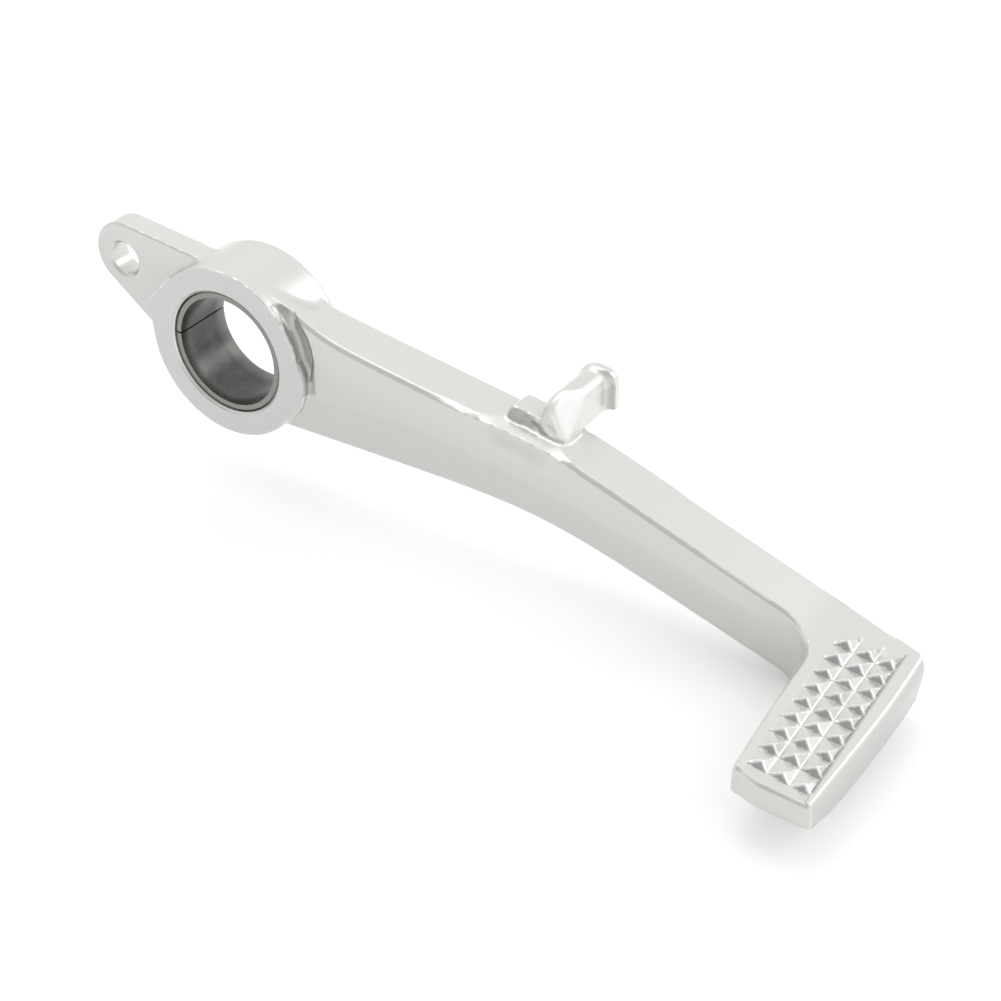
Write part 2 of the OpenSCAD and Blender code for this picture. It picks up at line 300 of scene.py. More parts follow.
def padOutline(x, y):
    # Rear edge and uneven outboard end of the pad, seen from above
    p = pedal
    front = x - p["padStart"]
    start, run, power = p["padRearTurn"]
    step, stepAt, stepRun = p["padEndStep"]
    out, at, wide = p["padEndBump"]
    rear = np.clip((-y - start) / run, 0, 1.1) ** power - front
    end = p["padEnd"] + out * hill(front, at, wide) - step * smooth((front - stepAt) / stepRun) - y
    return roundCut(rear, end, p["padCorner"])


def frontEdge(y):
    size, start, soft = pedal["padFrontTurn"]
    return pedal["padWidth"] - size * np.logaddexp(0, (-y - start) / soft)


def padFace(x, y, z):
    # Place in the pad's own tilted plane: u to the front, w up
    t = math.radians(pedal["padTilt"])
    front = x - pedal["padStart"]
    u = front * math.cos(t) - (z - padTop) * math.sin(t)
    w = front * math.sin(t) + (z - padTop) * math.cos(t)
    return u, w


def sideSwell(x, z, top, low):
    # Drafted sides: fullest at the parting line, with a little flash there
    p = pedal
    mid = partLine(x)
    soft = p["swellSoft"]
    end, run = p["swellEnd"]
    draft, draftRun = p["endDraft"]
    past = smooth((x - end) / run)
    upper = p["armBelly"] / np.maximum(top - mid, 4)
    lower = (p["armBelly"] + p["armDraft"]) / np.maximum(mid - low, 4)
    swell = p["armBelly"] - upper * bent(z, mid, soft) - lower * bent(-z, -mid, soft)
    swell = swell + p["flashOut"] * hill(z, mid, p["flashWide"])
    return swell * (1 - past) - draft * past * smooth((mid - z) / draftRun)


def bossRecess(x, z):
    p = pedal
    start, lean, leanZ, run = p["recessBack"]
    edge, bow, bowZ, fade = p["recessFront"]
    low, lowRun, high, highRun = p["recessEnds"]
    recess = smooth((x - start - lean * (leanZ - z)) / run) * smooth((edge - bow * (z - bowZ) ** 2 - x) / fade)
    return p["recessDepth"] * recess * smooth((z - low) / lowRun) * smooth((high - z) / highRun)


def underside(x, y, low):
    # The arm's underside, then a hollow up to the thinner pad with its rounded end
    p = pedal
    thin, thinStart, thinRun = p["padThin"]
    start, run = p["padHollow"]
    thick = p["padThick"] - thin * np.clip((-y - thinStart) / thinRun, 0, 1.1) ** 2
    under = padTop - padSlope * (x - p["padStart"]) - thick
    hollow = np.clip((-y - start) / run, 0, 1)
    hollow = np.sqrt(1 - (1 - hollow) ** 2)
    return low * (1 - hollow) + np.maximum(under, low) * hollow


def wornFacet(x, z, top, edge, scooped):
    # Thin facet along the outboard top edges, wide beside the spring peg
    p = pedal
    fall = p["facetFall"]
    grow, worn = p["facetGrow"], p["facetWorn"]
    wider, outerEnd, innerEnd = p["facetEnds"]
    outer = -p["facetOuter"] - wider * (x < outerEnd) - p["scoopLean"][0] * scooped
    inner = -p["facetInner"] - wider * (x < innerEnd) - grow[0] * stretch(x, *grow[1:])
    inner = inner - worn[0] * stretch(x, *worn[1:])
    return ((edge - inner) * fall + (z - top) * (outer - inner)) / np.hypot(fall, outer - inner)


def armAndPad(x, y, z):
    p = pedal
    fade, fadeFrom, fadeRun = p["rootFade"]
    low = lowLine(x)
    top = topLine(x) - fade * smooth((y + fadeFrom) / fadeRun) * rootRise(x)
    slope = topLine(x + 0.5) - topLine(x - 0.5)
    swell = sideSwell(x, z, top, low)
    scooped = stretch(x, *p["scoop"])
    lean, leanRun = p["scoopLean"]
    lean = lean * scooped * smooth((z - top + leanRun) / leanRun)
    outboard = -y - p["armOut"] - swell + lean + bossRecess(x, z)
    inboard = y - inboardSide(x) - swell * p["inboardSwell"]
    u, w = padFace(x, y, z)
    wall = u - frontEdge(y) - p["padDraft"] * w
    pad = filletJoin(outboard, padOutline(x, y), p["padFillet"])
    sides = roundCut(roundCut(pad, inboard, p["inboardRound"]), wall, p["wallRound"])
    drop, run = p["padChamfer"]
    chamfer = ((u - frontEdge(y)) * drop + w * run + drop * run) / math.hypot(drop, run)
    body = roundCut(sides, chamfer, p["chamferRound"])
    ceiling = (z - top) / np.sqrt(1 + slope ** 2)
    back = y > p["backFrom"]
    body = roundCut(body, ceiling, np.where(back, p["backRound"], p["edgeRound"]))
    body = roundCut(body, wornFacet(x, z, top, np.where(back, outside, pad - lean), scooped), p["facetRound"])
    bottom = (underside(x, y, low) - z) / p["lowSteep"]
    rounding, less, start, run = p["lowRound"]
    return roundCut(body, bottom, rounding - less * smooth((x - start) / run))


def lug(x, y, z):
    p = pedal
    ex, ez = p["lugEnd"]
    a, b = math.radians(p["lugTopSlope"]), math.radians(p["lugLowSlope"])
    above = (x - ex) * math.sin(a) + (z - ez) * math.cos(a) - p["lugRadius"]
    below = -(x - ex) * math.sin(b) - (z - ez) * math.cos(b) - p["lugRadius"]
    sideA = (x - ex) * math.cos(a) - (z - ez) * math.sin(a)
    sideB = (x - ex) * math.cos(b) - (z - ez) * math.sin(b)
    behind = np.hypot(x - ex, z - ez) - p["lugRadius"]
    outline = np.where((sideA < 0) & (sideB < 0), behind, np.maximum(above, below))
    outline = np.maximum(outline, x + 4)         # ends inside the boss
    body = roundCut(outline, np.abs(y - p["lugMiddle"]) - p["lugHalf"], p["lugRound"])
    # Web that carries the lug's front out to the boss face
    wx, wy, wz, away, first, size = p["webEnd"]
    ahead = (-x + z) * root2 - p["webAhead"]
    end = (wx * x + wz * z - away + wy * (-y - first)) / size
    web = roundCut(roundCut(ahead, end, p["webRound"][0]), below, p["webRound"][1])
    web = np.maximum(np.maximum(web, -y - p["bossForged"]), np.maximum(y, (x + z) * root2))
    return blend(body, np.maximum(web, x + 6), p["lugFillet"])


def peg(x, y, z, base):
    p = pedal
    half = p["pegHalf"]
    high, taper, holds = p["pegHigh"]
    high = high + taper * (holds - y)
    lipOut, lipUp, lipY = p["pegLip"]
    shank = np.hypot(x - p["pegX"], np.maximum(z - base - high + half, 0)) - half
    lipX = np.maximum(np.abs(x - p["pegX"] - lipOut / 2) - lipOut / 2, 0)
    lip = np.hypot(lipX, np.maximum(z - base - high - lipUp + half, 0)) - half
    lip = roundCut(lip, lipY - y, p["lipRound"])
    d = filletJoin(shank, lip, p["lipFillet"])
    d = roundCut(d, y - p["pegEnd"], p["pegEndRound"])
    d = roundCut(d, np.where(y > p["pegFloor"], base - z, outside), 0.5)
    # Root: a ridge down to the step, and a fan that faces forward
    ry, rz, start, ridgeRound = p["pegRidge"]
    fx, fromX, fy, fromY, fz, fromZ, fanRound = p["pegFan"]
    ridge = ry * (y - start) + rz * (z - base - high)
    fan = fx * (x - fromX) + fy * (y - fromY) + fz * (z - fromZ)
    d = roundCut(d, ridge, ridgeRound)
    d = roundCut(d, fan, fanRound)
    d = roundCut(d, p["stepOut"] - y + p["stepDraft"][0] * (z - base), p["stepRound"][0])
    return np.maximum(d, base - 3 - z)


def raisedStep(x, y, z):
    p = pedal
    line = topLine(x)
    outRound, backRound, inRound = p["stepRound"]
    fallFrom, fallRun = p["stepFall"]
    sink, sinkFrom, sinkRun = p["stepSink"]
    across = np.clip((y - p["stepOut"]) / p["stepAcross"], 0, 1)
    high = p["stepHigh"] * (1 - smooth((x - fallFrom) / fallRun))
    high = high * (1 - across * (1 - p["stepLow"] / p["stepHigh"]))
    top = line + high - sink * smooth((x - sinkFrom) / sinkRun)
    # Broken outboard edge: size, squeeze along z, scale and seed of each wave
    wave = sum(out * noise(x, z * squeeze, 0 * x, scale, seed) for out, squeeze, scale, seed in p["stepWave"])
    out = p["stepOut"] - y + p["stepDraft"][0] * (z - line) + wave
    back = p["stepBack"] - x + p["stepDraft"][1] * (z - line)
    d = roundCut(z - top, out, outRound)
    d = roundCut(d, back, backRound)
    d = roundCut(d, y - p["stepIn"], inRound)
    return np.maximum(d, line - 3 - z)


def rowRandom(i, j, seed):
    v = np.sin(i * 91.7 + j * 37.3 + seed * 17.9) * 9631.7
    return v - np.floor(v)


def studPlace(u, y):
    # Place from the field's rear outboard corner, with the field's width, its length and the pitch there
    s = studs
    pitch, grow = s["pitchY"]
    first, shift = s["startY"]
    fu = u - s["startX"]
    fv = y - first - shift * fu
    pitch = pitch + grow * fu
    return fu, fv, s["columns"] * s["pitchX"], s["rows"] * pitch, pitch


def studCell(u, y):
    # Column and row of a place on the pad, where it lies in that cell, and how far outside the field
    s = studs
    a = s["pitchX"]
    fu, fv, wide, long, b = studPlace(u, y)
    i = np.clip(np.floor(fu / a), 0, s["columns"] - 1)
    j = np.clip(np.floor(fv / b), 0, s["rows"] - 1)
    border = np.maximum(np.maximum(-fu, fu - wide), np.maximum(-fv, fv - long))
    return i, j, fu - i * a, fv - j * b, b, border


def fieldSink(u, y):
    # Depth of the field's floor, which runs up to the pad's plane at the rear, inboard and out to the end edge
    s = studs
    fu, fv, wide, long, b = studPlace(u, y)
    inward, outward = s["sinkEnds"]
    rear, front = s["sinkSides"]
    full = s["sink"][0] + s["sink"][1] * np.clip(fu, 0, wide)
    ends = np.minimum(inward * (long - fv), full * np.clip((fv + outward) / outward, 0, 1))
    sides = np.minimum(rear * fu, front * (wide - fu))
    return np.clip(np.minimum(np.minimum(full, ends), sides), 0, 2)


def studFaces(u, y):
    # Height of the four faces of the stud under a place, as shares of its full height
    s = studs
    a = s["pitchX"]
    i, j, lu, lv, b, border = studCell(u, y)
    tu = s["tip"][0] + s["tipSpread"][0] * (rowRandom(i, j, 1) - 0.5)
    tv = s["tip"][1] + s["tipSpread"][1] * (rowRandom(i, j, 2) - 0.5)
    faces = np.stack([lu / tu, (a - lu) / (a - tu), (b - lv) / (b - tv), lv / tv])
    least, spread = s["highSpread"]
    high = s["high"] * (least + spread * rowRandom(i, j, 3)) * (1 - s["firstRow"] * (j == 0))
    return faces, high, border


def studField(body, x, y, z):
    s = studs
    u, w = padFace(x, y, z)
    faces, high, border = studFaces(u, y)
    sink = fieldSink(u, y)
    high = high * np.minimum(faces.min(axis=0), s["blunt"])
    carved = np.maximum(body, np.where(sink > 0, w + sink, outside) * s["carve"])
    teeth = np.maximum(np.maximum((w + sink - high) * s["steep"], border), -3 - w)
    near = (x > s["from"][0]) & (w > s["from"][1])
    return np.where(near, np.minimum(carved, teeth), body)


# Small dents on the pad's end edge and on the lug's top edge: centre and radius
nicks = [
    (127.9, -43.3, -18.2, 0.55), (128.9, -43.3, -18.4, 0.5), (130.2, -43.4, -18.5, 0.6),
    (131.6, -43.5, -18.5, 0.75), (133.0, -43.5, -18.7, 0.7), (-25.6, -3.0, 18.6, 0.55),
    (-23.9, -3.0, 18.3, 0.6), (-22.4, -3.0, 18.0, 0.55), (-20.6, -3.0, 17.8, 0.5), (-18.7, -3.0, 17.5, 0.45),
]


def pedalShape(x, y, z):
    p = pedal
    r = np.hypot(x, z)
    body = np.maximum(armAndPad(x, y, z), 4 - x)
    boss = roundCut(r - p["bossRadius"], np.abs(y) - p["bossForged"], p["bossRound"])
    lx, lz, lr = p["faceLobe"]
    lobe = roundCut(np.hypot(x - lx, z - lz) - lr, -y - p["bossForged"], p["lobeRound"])
    boss = np.minimum(boss, np.maximum(lobe, y))
    body = filletJoin(body, boss, p["bossFillet"])
    body = filletJoin(body, lug(x, y, z), p["lugFillet"])
    base = topLine(np.float64(p["pegX"])) - 0.2
    mount = blend(raisedStep(x, y, z), peg(x, y, z, base), p["pegBlend"])
    middle, reach = p["mountReach"]
    body = np.where(np.abs(x - middle) < reach, filletJoin(body, mount, p["mountFillet"]), body)
    faced = np.abs(y) - p["bossFace"]
    body = np.where(x < p["facedTo"], np.maximum(body, faced), body)
    # Seat of the bush and the pin hole, each with a small chamfer
    seat = np.maximum(p["bossBore"] - r, root2 * (p["bossBore"] + p["boreChamfer"] - r + faced))
    hx, hz = p["lugHole"]
    pin = p["lugHoleRadius"] - np.hypot(x - hx, z - hz)
    lugSide = np.abs(y - p["lugMiddle"]) - p["lugHalf"]
    pin = np.maximum(pin, root2 * (pin + p["holeChamfer"] + lugSide))
    body = np.maximum(np.maximum(body, seat), pin)
    for nx, ny, nz, radius in nicks:
        dent = radius - np.sqrt((x - nx) ** 2 + (y - ny) ** 2 + (z - nz) ** 2)
        body = np.where(np.abs(x - nx) < 2, np.maximum(body, dent), body)
    return studField(body, x, y, z)


# Meshing: each run of grid lines has a start, an end and a step, closer where the shape is finer
meshing = {
    "runsX": [(-35, 22, 0.45), (22, 52, 0.9), (52, 74, 0.4), (74, 110, 0.9), (110, 122, 0.6), (122, 141, 0.3)],
    "runsY": [(-44.2, -1, 0.32), (-1, 8, 0.5), (8, 17, 0.5)],
    "runsZ": [(-34, -21, 0.6), (-21, -16.5, 0.3), (-16.5, 19.5, 0.45)],
    "coarse": 4,                     # grid steps in one block
    "reach": 1.6,
    "turns": 4,                      # steps towards each crossing
    "slopeStep": 0.03,
    "pull": 0.06,                    # towards the middle of a cell's crossings
    "sharpAngle": 26,
}


def slopes(shape, points, step):
    grad = np.stack([shape(*(points + step * e).T) - shape(*(points - step * e).T) for e in np.eye(3)], 1)
    return grad / (np.linalg.norm(grad, axis=1)[:, None] + 1e-12)


def gridLine(*runs):
    parts = [np.arange(a, b - 1e-6, (b - a) / max(1, round((b - a) / step))) for a, b, step in runs]
    return np.concatenate(parts + [[runs[-1][1]]])


def fieldValues(shape, xs, ys, zs, m):
    # The field on the whole grid, worked out only in blocks where any corner is near the surface
    coarse = m["coarse"]
    ci = [np.minimum(np.arange(0, len(s) + coarse, coarse), len(s) - 1) for s in (xs, ys, zs)]
    cx, cy, cz = np.meshgrid(xs[ci[0]], ys[ci[1]], zs[ci[2]], indexing="ij")
    rough = shape(cx, cy, cz)
    reach = m["reach"] * coarse * np.sqrt(sum(np.diff(s).max() ** 2 for s in (xs, ys, zs)))
    near = np.abs(rough) < reach
    blocks = near[:-1, :-1, :-1].copy()
    for i in (0, 1):
        for j in (0, 1):
            for k in (0, 1):
                blocks |= near[i:near.shape[0] - 1 + i, j:near.shape[1] - 1 + j, k:near.shape[2] - 1 + k]
    full = rough[:-1, :-1, :-1]
    for axis in range(3):
        full = np.repeat(full, coarse, axis)
        blocks = np.repeat(blocks, coarse, axis)
    full = full[:len(xs), :len(ys), :len(zs)].copy()
    blocks = blocks[:len(xs), :len(ys), :len(zs)]
    i, j, k = np.nonzero(blocks)
    full[i, j, k] = shape(xs[i], ys[j], zs[k])
    return full


def shapeMesh(name, shape, xs, ys, zs, m):
    n = (len(xs), len(ys), len(zs))
    full = fieldValues(shape, xs, ys, zs, m)
    inside = full < 0
    starts, ends, cells, flips, valueA, valueB = [], [], [], [], [], []
    offsets = [(0, 0), (-1, 0), (-1, -1), (0, -1)]
    for axis in range(3):
        a = [slice(None)] * 3
        b = [slice(None)] * 3
        a[axis], b[axis] = slice(0, -1), slice(1, None)
        hit = np.argwhere(inside[tuple(a)] != inside[tuple(b)])
        other = hit.copy()
        other[:, axis] += 1
        starts.append(np.stack([xs[hit[:, 0]], ys[hit[:, 1]], zs[hit[:, 2]]], 1))
        ends.append(np.stack([xs[other[:, 0]], ys[other[:, 1]], zs[other[:, 2]]], 1))
        valueA.append(full[hit[:, 0], hit[:, 1], hit[:, 2]])
        valueB.append(full[other[:, 0], other[:, 1], other[:, 2]])
        u, v = (axis + 1) % 3, (axis + 2) % 3
        ring = []
        for du, dv in offsets:
            c = hit.copy()
            c[:, u] += du
            c[:, v] += dv
            ring.append((c[:, 0] * n[1] + c[:, 1]) * n[2] + c[:, 2])
        cells.append(np.stack(ring, 1))
        flips.append(inside[hit[:, 0], hit[:, 1], hit[:, 2]])
    pa, pb = np.concatenate(starts), np.concatenate(ends)
    fa, fb = np.concatenate(valueA), np.concatenate(valueB)
    cells, flips = np.concatenate(cells), np.concatenate(flips)
    for turn in range(m["turns"]):
        t = np.clip(fa / (fa - fb), 0.05, 0.95)[:, None]
        mid = pa + (pb - pa) * t
        fm = shape(*mid.T)
        low = (fm < 0) == (fa < 0)
        pa[low], fa[low] = mid[low], fm[low]
        pb[~low], fb[~low] = mid[~low], fm[~low]
    t = (fa / (fa - fb))[:, None]
    cross = pa + (pb - pa) * t
    grad = slopes(shape, cross, m["slopeStep"])
    ids, index = np.unique(cells.ravel(), return_inverse=True)
    index = index.reshape(cells.shape)
    count = np.bincount(index.ravel(), minlength=len(ids)).astype(float)

    def gather(value):
        return np.bincount(index.ravel(), np.repeat(value, 4), minlength=len(ids))

    centre = np.stack([gather(cross[:, q]) for q in range(3)], 1) / count[:, None]
    push = np.sum(grad * cross, 1)
    matrix = np.zeros((len(ids), 3, 3))
    right = np.zeros((len(ids), 3))
    for q in range(3):
        right[:, q] = gather(grad[:, q] * push)
        for w in range(3):
            matrix[:, q, w] = gather(grad[:, q] * grad[:, w])
    right -= np.einsum("nij,nj->ni", matrix, centre)
    matrix += np.eye(3) * m["pull"]
    spot = centre + np.linalg.solve(matrix, right[:, :, None])[:, :, 0]
    ix, rest = np.divmod(ids, n[1] * n[2])
    iy, iz = np.divmod(rest, n[2])
    lowCorner = np.stack([xs[ix], ys[iy], zs[iz]], 1)
    highCorner = np.stack([xs[ix + 1], ys[iy + 1], zs[iz + 1]], 1)
    spot = np.clip(spot, lowCorner, highCorner)
    quads = np.where(flips[:, None], index, index[:, ::-1])
    print(name, len(ids), "points", len(quads), "faces")
    return spot, quads


def addMesh(name, points, quads, sharpAngle):
    data = bpy.data.meshes.new(name)
    data.vertices.add(len(points))
    data.vertices.foreach_set("co", (points * mm).astype(np.float32).ravel())
    data.loops.add(quads.size)
    data.loops.foreach_set("vertex_index", quads.astype(np.int32).ravel())
    data.polygons.add(len(quads))
    data.polygons.foreach_set("loop_start", np.arange(0, quads.size, 4, dtype=np.int32))
    data.update(calc_edges=True)
    data.validate()
    data.polygons.foreach_set("use_smooth", np.ones(len(data.polygons), dtype=bool))
    data.set_sharp_from_angle(angle=math.radians(sharpAngle))
    obj = bpy.data.objects.new(name, data)
    bpy.context.scene.collection.objects.link(obj)
    return obj


def addValue(obj, name, values):
    layer = obj.data.attributes.new(name, "FLOAT", "POINT")
    layer.data.foreach_set("value", np.clip(values, 0, 1).astype(np.float32))


grid = [gridLine(*meshing[runs]) for runs in ("runsX", "runsY", "runsZ")]
points, quads = shapeMesh("pedal", pedalShape, *grid, meshing)

masks = {
    "step": 0.05,                    # for the slopes
    "deep": 0.35,                    # reach of the test for edges and hollows
    "ridgeWide": 0.17,
    "valleyWide": 0.12,
    "valleyShare": 0.75,
    "frontShadeShare": 0.75,              # how much painted shade the studs' faces towards the pad's front get
    "shine": (0.5, -0.62, 0.6),      # faces at the peg's root that look this way get a painted highlight
    "shineFrom": (0.72, 0.2),
    "recessShade": (17.3, 19.9, 8, 4.5, 8.5, -7.1, -4.6),
    "recessShadeShare": 0.8,
    "padFront": 130,
}


def studMasks(u, y, grad, field):
    # Painted highlights on the stud field's ridges and valleys, and painted shade on its outboard and front
    # faces
    m = masks
    faces, high, border = studFaces(u, y)
    order = np.sort(faces, axis=0)
    steep = faces[3] <= order[0] + 1e-6
    nearSteep = faces[3] <= order[1] + 1e-6
    toFront = faces[1] <= order[0] + 1e-6
    ridge = smooth(1.7 - (order[1] - order[0]) * high / m["ridgeWide"])
    ridge = field * nearSteep * ridge * (order[0] > 0.1) * (faces[2] > order[1])
    lu = studCell(u, y)[2]
    lu = np.minimum(lu, studs["pitchX"] - lu)
    valley = m["valleyShare"] * field * smooth(1.5 - lu / m["valleyWide"]) * ~steep
    valley = valley * (u - studs["startX"] > 1) * (fieldSink(u, y) > 0.15)
    rawAndShade = field * ((steep & (grad[:, 1] < -0.3)) + m["frontShadeShare"] * toFront) * (1 - ridge) * (1 - valley)
    return ridge, valley, rawAndShade


def pedalMasks(obj, points):
    p, m = pedal, masks
    x, y, z = points.T
    r = np.hypot(x, z)
    line = topLine(x)
    grad = slopes(pedalShape, points, m["step"])
    deep = m["deep"]
    convex = 1 + pedalShape(*(points - deep * grad).T) / deep
    concave = 1 - pedalShape(*(points + deep * grad).T) / deep
    u, w = padFace(x, y, z)
    field = (studFaces(u, y)[2] < 0.1) & (w > -1.6) & (x > studs["from"][0])
    ridge, valley, rawAndShade = studMasks(u, y, grad, field)
    base = float(topLine(np.float64(p["pegX"])))
    near = smooth(4.5 - np.abs(x - p["pegX"])) * smooth(5 - np.abs(y - 1)) * smooth(z - base)
    start, run = m["shineFrom"]
    fanHighlight = near * smooth((grad @ np.array(m["shine"]) - start) / run)
    # Painted shade in the recess in front of the boss face
    inner, outer, fromX, midZ, halfZ, fromY, toY = m["recessShade"]
    recessShade = (r > inner) & (r < outer) & (x > fromX) & (np.abs(z - midZ) < halfZ) & (y > fromY) & (y < toY)
    # Painted shade on faces that look outboard or, on the pad, to the front, darker towards the bottom
    outboard = smooth(-grad[:, 1] * 2 - 0.9) * (0.75 + 0.25 * smooth((line - 3 - z) / 8))
    front = smooth((grad[:, 0] - 0.8) * 8) * (x > m["padFront"])
    # Unfinished outboard face of the raised step
    side = smooth((-grad[:, 1] - 0.72) / 0.15) * (np.abs(y - p["stepOut"]) < 1.3) * (x > 57) * (x < 76)
    side = side * smooth((z - line + 0.4) / 0.5) * smooth((line + 2.6 - z) / 0.7) * smooth((70.5 - x) / 4)
    faced = (np.abs(np.abs(y) - p["bossFace"]) < 0.03) & (r < 21)
    values = {
        # painted highlight on convex edges, stud ridges and valleys, and the peg root's fan
        "edge": np.where(field, np.maximum(ridge, valley), np.maximum(convex * 1.4 - 0.15, fanHighlight)),
        # painted shade in hollows and in the recess beside the boss face
        "creaseShade": np.where(field, 0, np.maximum(concave * 1.3 - 0.1, m["recessShadeShare"] * recessShade)),
        "rawAndShade": rawAndShade,
        "sideShade": (outboard + front) * ~field,
        "rough": side,
        "machined": faced,
    }
    for label, value in values.items():
        addValue(obj, label, value)


pedalForging = addMesh("pedalForging", points, quads, meshing["sharpAngle"])
pedalMasks(pedalForging, points)
print("pedal made")

bush = {
    "inner": 11.0,
    "outer": 12.5,
    "half": 6.5,
    "chamfer": 0.4,
    "seamAngle": 175,
    "seamWidth": 0.35,
    "turns": 220,
    "lipLean": (0.3, 0.1),           # share of the chamfer, across and along, at the inner edges
    "sharpAngle": 30,
}


def makeBush(b):
    # The strip's section, walked round from one lip of the seam to the other
    c, h = b["chamfer"], b["half"]
    inner, outer = b["inner"], b["outer"]
    across, along = b["lipLean"]
    across, along = c * across, c * along
    ring = [(inner + across, -h + along), (inner, -h + c), (inner, -h / 2), (inner, 0), (inner, h / 2),
            (inner, h - c), (inner + across, h - along), (inner + c, h), (outer - c, h), (outer, h - c),
            (outer, 0), (outer, -h + c), (outer - c, -h), (inner + c, -h)]
    half = b["seamWidth"] / 2 / inner
    start = math.radians(b["seamAngle"]) + half
    points, quads = [], []
    m = len(ring)
    for i in range(b["turns"] + 1):
        a = start + (2 * math.pi - 2 * half) * i / b["turns"]
        for radius, place in ring:
            points.append((radius * math.cos(a), place, radius * math.sin(a)))
    for i in range(b["turns"]):
        for j in range(m):
            k = (j + 1) % m
            quads.append((i * m + j, i * m + k, (i + 1) * m + k, (i + 1) * m + j))
    data = bpy.data.meshes.new("pivotBush")
    data.from_pydata([Vector(p) * mm for p in points], [],
                     quads + [tuple(range(m))[::-1], tuple(b["turns"] * m + j for j in range(m))])
    data.validate()
    data.polygons.foreach_set("use_smooth", np.ones(len(data.polygons), dtype=bool))
    data.set_sharp_from_angle(angle=math.radians(b["sharpAngle"]))
    obj = bpy.data.objects.new("pivotBush", data)
    bpy.context.scene.collection.objects.link(obj)
    x, y, z = np.array(points).T
    # Lighter end lips, a painted highlight
    addValue(obj, "rim", smooth((np.abs(y) - h + c + 0.02) * 30) * (np.hypot(x, z) < outer - 0.1))
    return obj


pivotBush = makeBush(bush)
print("bush made")


# Shader helpers
def newMaterial(name):
    mat = bpy.data.materials.new(name)
    mat.use_nodes = True
    return mat, mat.node_tree, mat.node_tree.nodes["Principled BSDF"]


def addNode(tree, kind, values=None, **settings):
    node = tree.nodes.new(kind)
    for key, value in settings.items():
        setattr(node, key, value)
    for key, value in (values or {}).items():
        node.inputs[key].default_value = value
    return node


def math2(tree, operation, a, b):
    node = tree.nodes.new("ShaderNodeMath")
    node.operation = operation
    for socket, value in zip(node.inputs, (a, b)):
        if isinstance(value, (int, float)):
            socket.default_value = value
        else:
            tree.links.new(value, socket)
    return node.outputs[0]


def newGroup(name, inputs, outputs):
    tree = bpy.data.node_groups.new(name, "ShaderNodeTree")
    for label, value in inputs.items():
        tree.interface.new_socket(label, in_out="INPUT", socket_type="NodeSocketFloat").default_value = value
    for label in outputs:
        tree.interface.new_socket(label, in_out="OUTPUT", socket_type="NodeSocketFloat")
    return tree, tree.nodes.new("NodeGroupInput"), tree.nodes.new("NodeGroupOutput")


grainLook = {
    "big": {"Scale": 180.0, "Detail": 3.0, "Roughness": 0.6},
    "small": {"Scale": 1400.0, "Detail": 2.0, "Roughness": 0.7},
    "shares": (0.6, 0.4),
}


def castGrainGroup(g):
    tree, into, out = newGroup("castGrain", {"Scale": 1.0, "Depth": 1.0}, ["Height", "Mask"])
    place = tree.nodes.new("ShaderNodeTexCoord").outputs["Object"]
    grow = addNode(tree, "ShaderNodeVectorMath", operation="SCALE")
    tree.links.new(place, grow.inputs[0])
    tree.links.new(into.outputs["Scale"], grow.inputs["Scale"])
    big = addNode(tree, "ShaderNodeTexNoise", g["big"])
    small = addNode(tree, "ShaderNodeTexNoise", g["small"])
    for tex in (big, small):
        tree.links.new(grow.outputs[0], tex.inputs["Vector"])
    shares = [math2(tree, "MULTIPLY", tex.outputs["Fac"], share)
              for tex, share in zip((big, small), g["shares"])]
    total = math2(tree, "ADD", *shares)
    tree.links.new(math2(tree, "MULTIPLY", total, into.outputs["Depth"]), out.inputs["Height"])
    tree.links.new(big.outputs["Fac"], out.inputs["Mask"])
    return tree


castGrain = castGrainGroup(grainLook)


def placeGroup(tree, group, values):
    node = tree.nodes.new("ShaderNodeGroup")
    node.node_tree = group
    for key, value in values.items():
        node.inputs[key].default_value = value
    return node


alloy = {
    "base": (0.75, 0.75, 0.725, 1),
    "dark": (0.66, 0.66, 0.64, 1),
    # painted shade on faces that look outboard and on the pad's front wall
    "sideShade": (0.585, 0.585, 0.57, 1),
    # the step's raw outboard face, and painted shade on the studs' outboard and front faces
    "rawAndShade": (0.42, 0.42, 0.41, 1),
    # painted highlight on convex edges, the studs' ridges and valleys and the peg root's fan
    "paintedHighlight": (1.0, 1.0, 0.985, 1),
    "machined": (0.57, 0.57, 0.565, 1),
    # painted shade in hollows and in the recess beside the boss face
    "creaseShade": (0.30, 0.30, 0.29, 1),
    "metallic": 0.85,
    "roughness": 0.26,
    "roughSpread": 0.12,
    "bump": 0.5,
    "grain": {"Scale": 1.0, "Depth": 1.0},
    # mask, colour and strength of each layer, from the lowest up
    "layers": [("sideShade", "sideShade", 1), ("machined", "machined", 1), ("creaseShade", "creaseShade", 0.7),
               ("rawAndShade", "rawAndShade", 1), ("rough", "rawAndShade", 1), ("edge", "paintedHighlight", 0.8)],
}
bumpDistance = 0.0001


def mixColour(tree, factor, a, b):
    node = addNode(tree, "ShaderNodeMix", data_type="RGBA")
    for socket, value in ((node.inputs[0], factor), (node.inputs[6], a), (node.inputs[7], b)):
        if isinstance(value, (int, float, tuple)):
            socket.default_value = value
        else:
            tree.links.new(value, socket)
    return node.outputs[2]


def attribute(tree, name):
    return addNode(tree, "ShaderNodeAttribute", attribute_name=name).outputs["Fac"]


def finishMetal(tree, shader, grain, a):
    # Roughness that follows the grain, and its relief
    shader.inputs["Metallic"].default_value = a["metallic"]
    spread = math2(tree, "MULTIPLY", grain.outputs["Mask"], a["roughSpread"])
    tree.links.new(math2(tree, "ADD", spread, a["roughness"]), shader.inputs["Roughness"])
    bump = addNode(tree, "ShaderNodeBump", {"Strength": a["bump"], "Distance": bumpDistance})
    tree.links.new(grain.outputs["Height"], bump.inputs["Height"])
    tree.links.new(bump.outputs[0], shader.inputs["Normal"])


